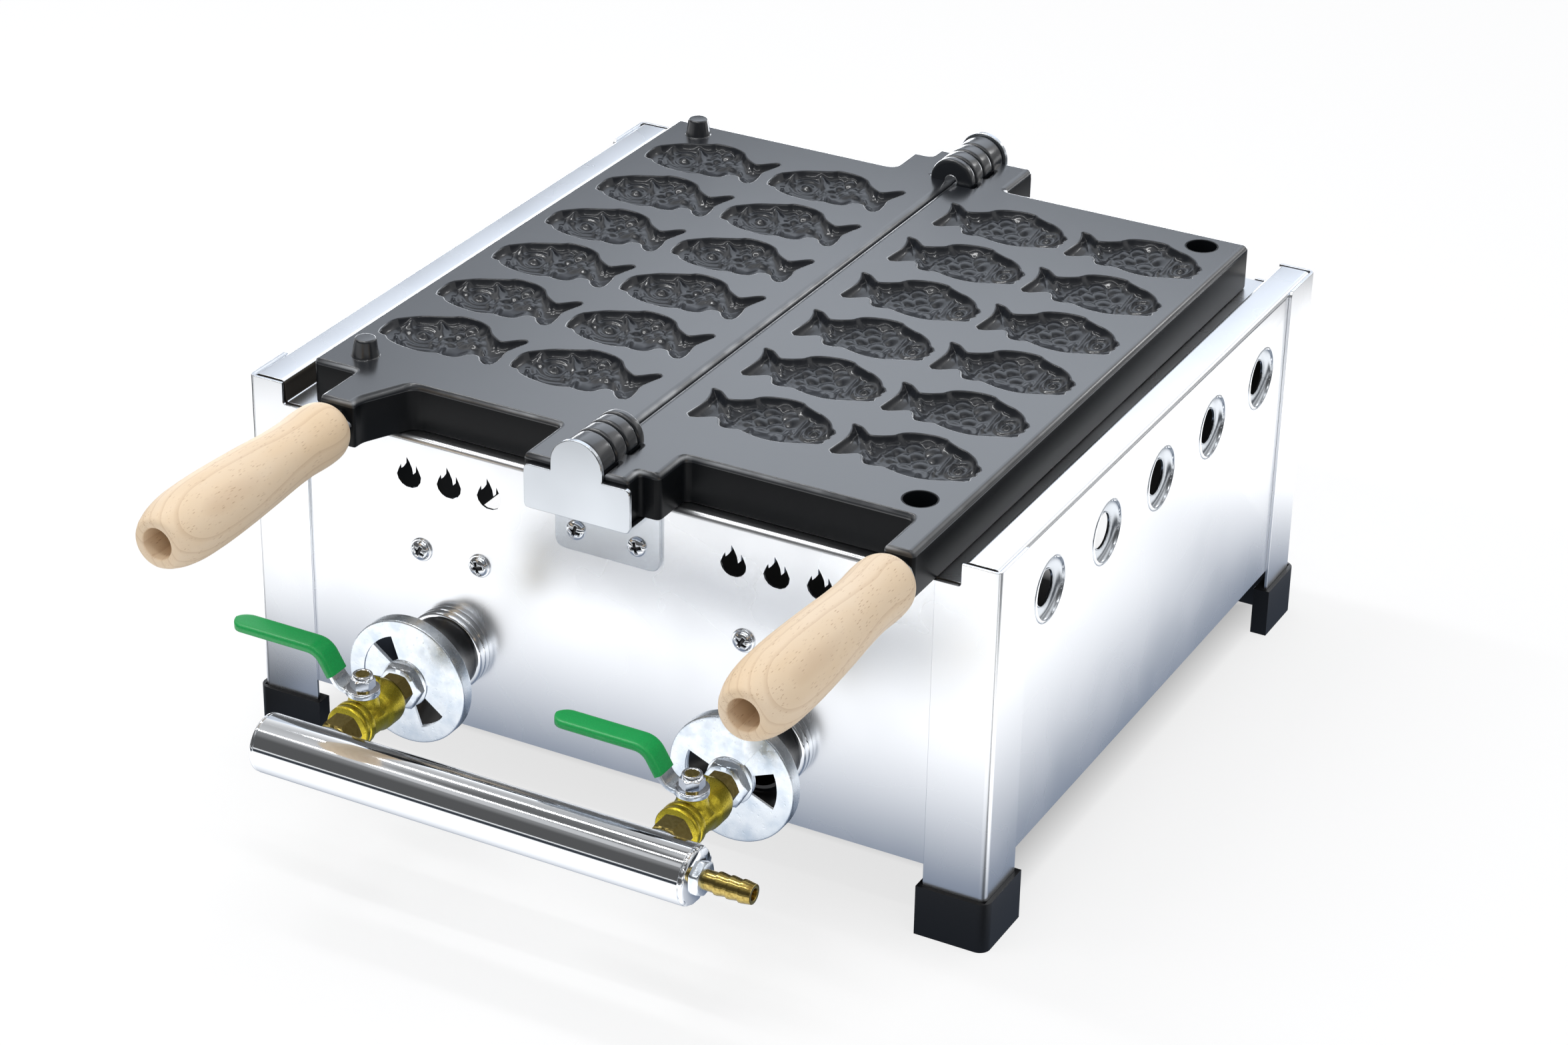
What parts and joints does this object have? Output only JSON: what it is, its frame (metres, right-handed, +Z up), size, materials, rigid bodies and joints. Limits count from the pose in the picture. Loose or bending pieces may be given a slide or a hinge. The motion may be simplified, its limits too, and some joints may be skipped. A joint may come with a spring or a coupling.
{
  "type": "taiyaki maker",
  "caption": "Countertop gas waffle maker for fish-shaped cakes: two hinged mould plates on a folded steel stand with burners, valves and levers.",
  "frame": {"origin": "on the surface that the boots stand on, below the middle of the whole part's box with both plates laid open", "axes": "+Y to the rear along the plates' hinge line, +X to the right seen from the front, +Z up"},
  "size_m": [0.506, 0.7028, 0.2815],
  "materials": {
    "coating": "dark grey non-stick coating on cast aluminium, satin",
    "steel": "mirror-bright stainless sheet",
    "chrome": "bright zinc or chrome plate",
    "brass": "rough cast brass",
    "old_brass": "darkened machined brass",
    "iron": "black painted cast iron",
    "rubber": "satin black moulded rubber",
    "beech": "turned pale beech, satin varnish",
    "vinyl": "glossy green vinyl"
  },
  "bodies": {
    "stand": {"front_panel": "steel", "rear_panel": "steel", "left_side_panel": "steel", "right_side_panel": "steel", "front_left_leg": "steel", "front_right_leg": "steel", "rear_left_leg": "steel", "rear_right_leg": "steel", "front_left_boot": "rubber", "front_right_boot": "rubber", "rear_left_boot": "rubber", "rear_right_boot": "rubber", "front_hinge_bracket": "steel", "rear_hinge_bracket": "steel", "front_hinge_pin": "chrome", "rear_hinge_pin": "chrome", "bracket_screws": "chrome", "panel_screw_set": "chrome", "screw_nuts": "chrome", "left_burner_tube": "iron", "right_burner_tube": "iron", "burner_mounts": "steel", "burner_rests": "steel", "left_panel_ring": "chrome", "right_panel_ring": "chrome", "left_mixer_bell": "iron", "right_mixer_bell": "iron", "left_locknut": "chrome", "right_locknut": "chrome", "left_injector": "old_brass", "right_injector": "old_brass", "left_valve_body": "brass", "right_valve_body": "brass", "left_inlet_nipple": "old_brass", "right_inlet_nipple": "old_brass", "gas_manifold": "chrome", "manifold_end_cap": "chrome", "manifold_weld_cap": "chrome", "hose_barb": "brass"},
    "left_plate_body": {"left_plate": "coating", "left_handle_rod": "chrome", "left_handle_grip": "beech", "left_handle_nut": "chrome"},
    "right_plate_body": {"right_plate": "coating", "right_handle_rod": "chrome", "right_handle_grip": "beech", "right_handle_nut": "chrome"},
    "left_lever_body": {"left_valve_ball": "brass", "left_lever": "chrome", "left_lever_sleeve": "vinyl", "left_lever_nut": "chrome"},
    "right_lever_body": {"right_valve_ball": "brass", "right_lever": "chrome", "right_lever_sleeve": "vinyl", "right_lever_nut": "chrome"},
    "left_shutter_body": {"left_air_shutter": "chrome"},
    "right_shutter_body": {"right_air_shutter": "chrome"}
  },
  "joints": [
    {"name": "left_plate_hinge", "type": "hinge", "parent": "stand", "child": "left_plate_body", "pos_m": [0, 0.0846, 0.26455], "axis": [0, 1, 0], "range_deg": [0, 180]},
    {"name": "right_plate_hinge", "type": "hinge", "parent": "stand", "child": "right_plate_body", "pos_m": [0, 0.0846, 0.26455], "axis": [0, 1, 0], "range_deg": [-180, 0]},
    {"name": "left_gas_lever", "type": "hinge", "parent": "stand", "child": "left_lever_body", "pos_m": [-0.11, -0.2414, 0.1], "axis": [0, 0, 1], "range_deg": [0, 90]},
    {"name": "right_gas_lever", "type": "hinge", "parent": "stand", "child": "right_lever_body", "pos_m": [0.11, -0.2414, 0.1], "axis": [0, 0, 1], "range_deg": [0, 90]},
    {"name": "left_air_shutter_turn", "type": "hinge", "parent": "stand", "child": "left_shutter_body", "pos_m": [-0.11, -0.1967, 0.1], "axis": [0, 1, 0], "range_deg": [-46, 44]},
    {"name": "right_air_shutter_turn", "type": "hinge", "parent": "stand", "child": "right_shutter_body", "pos_m": [0.11, -0.1967, 0.1], "axis": [0, 1, 0], "range_deg": [-57, 33]}
  ]
}
